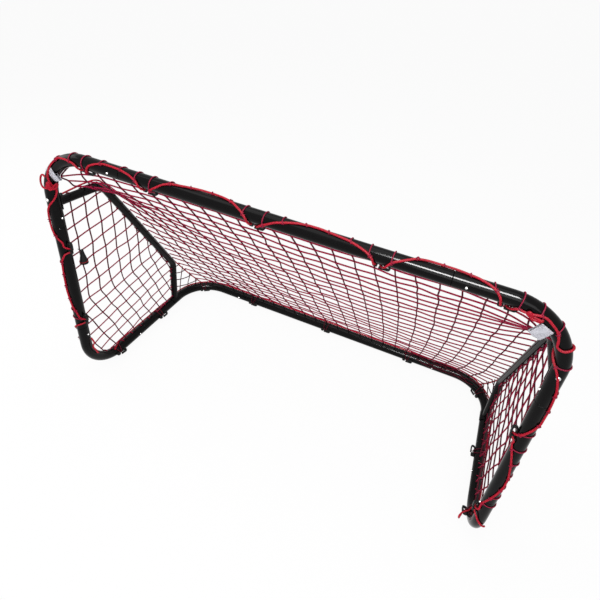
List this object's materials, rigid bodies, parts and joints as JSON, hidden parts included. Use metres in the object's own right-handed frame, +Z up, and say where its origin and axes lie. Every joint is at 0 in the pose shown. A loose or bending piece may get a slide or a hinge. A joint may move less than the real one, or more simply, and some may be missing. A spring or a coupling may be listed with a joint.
{
  "type": "knock-down goal with a tied net",
  "caption": "Small free-standing sports goal: black bent steel tube frame with two side arms and a red net laced on with rope and plastic clips.",
  "frame": {"origin": "middle of the footprint, on the ground", "axes": "+X to the right as seen from the field, along the crossbar; the mouth faces -Y; +Z up"},
  "size_m": [1.51, 0.7138, 0.9541],
  "materials": {
    "frame_steel": "gloss",
    "zinc": "satin",
    "plastic": "matte",
    "rope": "matte",
    "twine": "matte",
    "cloth": "satin"
  },
  "bodies": {
    "frame": {"back_net": "twine", "bottom_left_corner": "frame_steel", "bottom_right_corner": "frame_steel", "clip_crossbar_3": "plastic", "clip_crossbar_4": "plastic", "clip_crossbar_5": "plastic", "clip_crossbar_6": "plastic", "clip_crossbar_7": "plastic", "clip_left_foot_1": "plastic", "clip_left_post_1": "plastic", "clip_left_post_2": "plastic", "clip_left_side_2": "plastic", "clip_rear_4": "plastic", "clip_rear_5": "plastic", "clip_rear_6": "plastic", "clip_rear_left_3": "plastic", "clip_rear_right_7": "plastic", "clip_right_foot_9": "plastic", "clip_right_post_8": "plastic", "clip_right_post_9": "plastic", "clip_right_side_8": "plastic", "crossbar": "frame_steel", "ground_rope": "rope", "left_arm": "frame_steel", "left_arm_bolt": "zinc", "left_cap_nut": "plastic", "left_corner_tab": "cloth", "left_foot_bracket": "plastic", "left_foot_screw": "zinc", "left_front_bracket": "plastic", "left_net": "twine", "left_seam_cord": "rope", "left_upright": "frame_steel", "mouth_rope": "rope", "rear_bar": "frame_steel", "rear_left_corner": "frame_steel", "rear_right_corner": "frame_steel", "right_arm": "frame_steel", "right_arm_bolt": "zinc", "right_cap_nut": "plastic", "right_corner_tab": "cloth", "right_foot_bracket": "plastic", "right_foot_screw": "zinc", "right_front_bracket": "plastic", "right_net": "twine", "right_seam_cord": "rope", "right_upright": "frame_steel", "top_left_corner": "frame_steel", "top_right_corner": "frame_steel"},
    "left_crossbar_button_body": {"left_crossbar_button": "zinc"},
    "left_rear_button_body": {"left_rear_button": "zinc"},
    "left_upper_button_body": {"left_upper_button": "zinc"},
    "left_lower_button_body": {"left_lower_button": "zinc"},
    "left_ground_button_body": {"left_ground_button": "zinc"},
    "right_crossbar_button_body": {"right_crossbar_button": "zinc"},
    "right_rear_button_body": {"right_rear_button": "zinc"},
    "right_upper_button_body": {"right_upper_button": "zinc"},
    "right_lower_button_body": {"right_lower_button": "zinc"},
    "right_ground_button_body": {"right_ground_button": "zinc"},
    "spare_clip_body": {"spare_net_clip": "plastic"}
  },
  "joints": [
    {"name": "left_crossbar_button_press", "type": "slide", "parent": "frame", "child": "left_crossbar_button_body", "axis": [0, 1, 0], "range_m": [0, 0.0053], "stiffness_N_per_m": 1500, "springref_m": -0.001},
    {"name": "left_rear_button_press", "type": "slide", "parent": "frame", "child": "left_rear_button_body", "axis": [0, 1, 0], "range_m": [0, 0.0053], "stiffness_N_per_m": 1500, "springref_m": -0.001},
    {"name": "left_upper_button_press", "type": "slide", "parent": "frame", "child": "left_upper_button_body", "axis": [-1, 0, 0], "range_m": [0, 0.0053], "stiffness_N_per_m": 1500, "springref_m": -0.001},
    {"name": "left_lower_button_press", "type": "slide", "parent": "frame", "child": "left_lower_button_body", "axis": [-1, 0, 0], "range_m": [0, 0.0053], "stiffness_N_per_m": 1500, "springref_m": -0.001},
    {"name": "left_ground_button_press", "type": "slide", "parent": "frame", "child": "left_ground_button_body", "axis": [-1, 0, 0], "range_m": [0, 0.0053], "stiffness_N_per_m": 1500, "springref_m": -0.001},
    {"name": "right_crossbar_button_press", "type": "slide", "parent": "frame", "child": "right_crossbar_button_body", "axis": [0, 1, 0], "range_m": [0, 0.0053], "stiffness_N_per_m": 1500, "springref_m": -0.001},
    {"name": "right_rear_button_press", "type": "slide", "parent": "frame", "child": "right_rear_button_body", "axis": [0, 1, 0], "range_m": [0, 0.0053], "stiffness_N_per_m": 1500, "springref_m": -0.001},
    {"name": "right_upper_button_press", "type": "slide", "parent": "frame", "child": "right_upper_button_body", "axis": [1, 0, 0], "range_m": [0, 0.0053], "stiffness_N_per_m": 1500, "springref_m": -0.001},
    {"name": "right_lower_button_press", "type": "slide", "parent": "frame", "child": "right_lower_button_body", "axis": [1, 0, 0], "range_m": [0, 0.0053], "stiffness_N_per_m": 1500, "springref_m": -0.001},
    {"name": "right_ground_button_press", "type": "slide", "parent": "frame", "child": "right_ground_button_body", "axis": [1, 0, 0], "range_m": [0, 0.0053], "stiffness_N_per_m": 1500, "springref_m": -0.001},
    {"name": "spare_clip_swing", "type": "hinge", "parent": "frame", "child": "spare_clip_body", "pos_m": [-0.713, -0.2898, 0.56266], "axis": [1, 0, 0], "range_deg": [-10, 40]}
  ]
}
